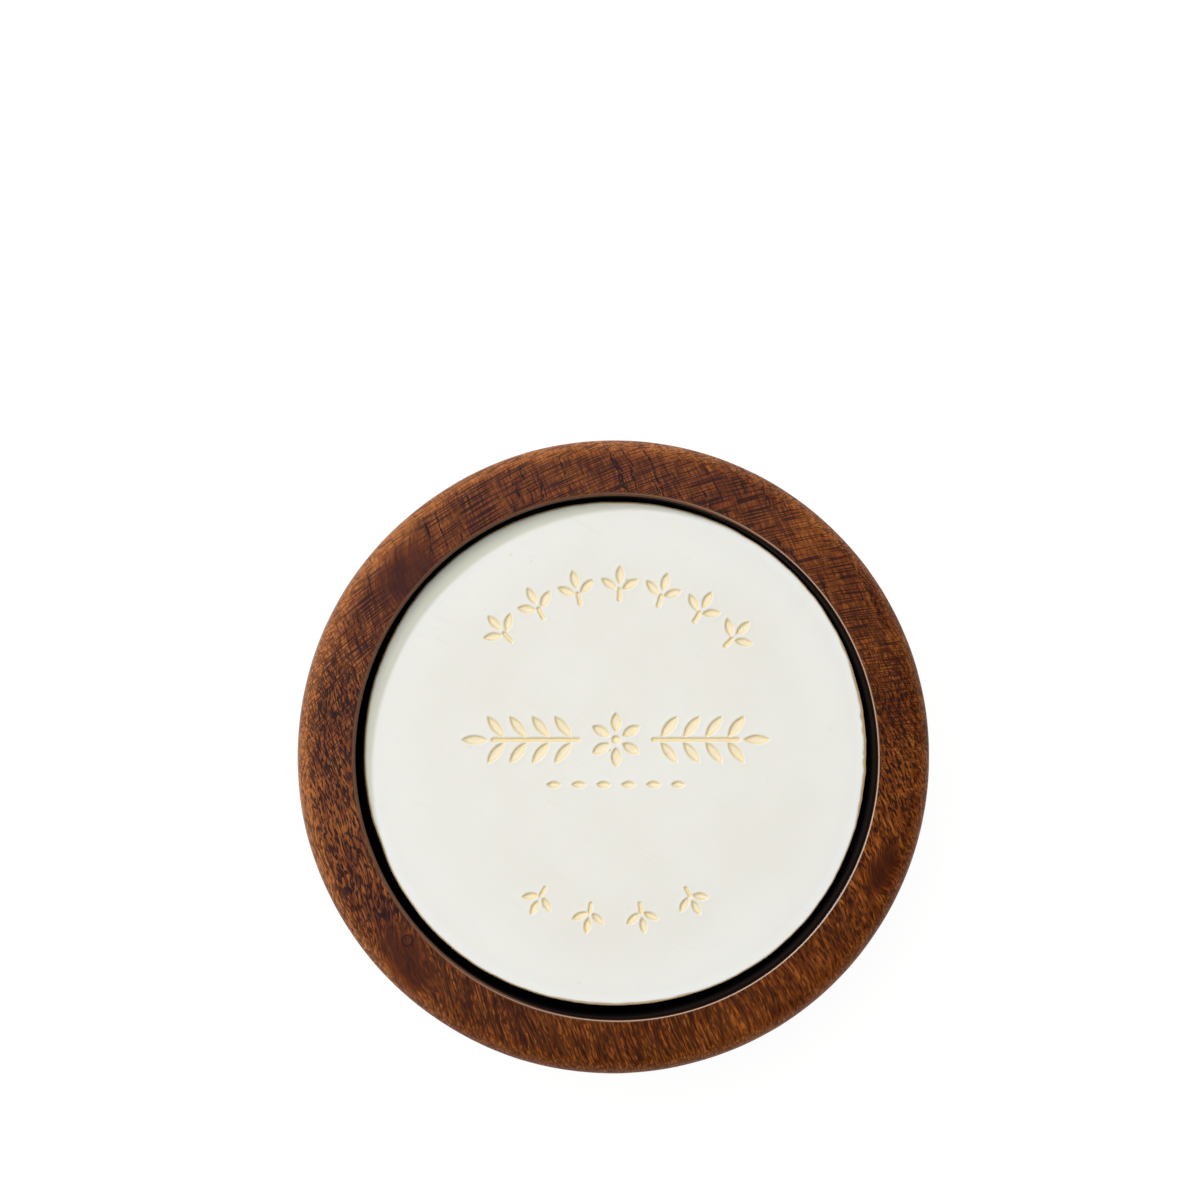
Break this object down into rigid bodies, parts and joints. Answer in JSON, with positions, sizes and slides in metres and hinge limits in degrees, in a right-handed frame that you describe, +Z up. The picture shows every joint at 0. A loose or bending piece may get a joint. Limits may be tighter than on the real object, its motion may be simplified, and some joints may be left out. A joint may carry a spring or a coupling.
{
  "type": "shaving soap puck in a wooden bowl",
  "caption": "Round shaving soap puck with a pressed leaf ornament, lying loose in a shallow turned wooden bowl; the puck lifts straight out.",
  "frame": {"origin": "centre of the ring that the bowl stands on", "axes": "+Z up along the bowl's turning axis, out of the mouth; +X to the right and +Y to the top of the pressed ornament"},
  "size_m": [0.1, 0.1, 0.038],
  "materials": {
    "dark_stained_wood": "satin",
    "hard_soap": "satin"
  },
  "bodies": {
    "bowl": {"wooden_bowl": "dark_stained_wood"},
    "puck": {"soap_puck": "hard_soap"}
  },
  "joints": [
    {"name": "puck_lift", "type": "slide", "parent": "bowl", "child": "puck", "axis": [0, 0, 1], "range_m": [0, 0.045]}
  ]
}
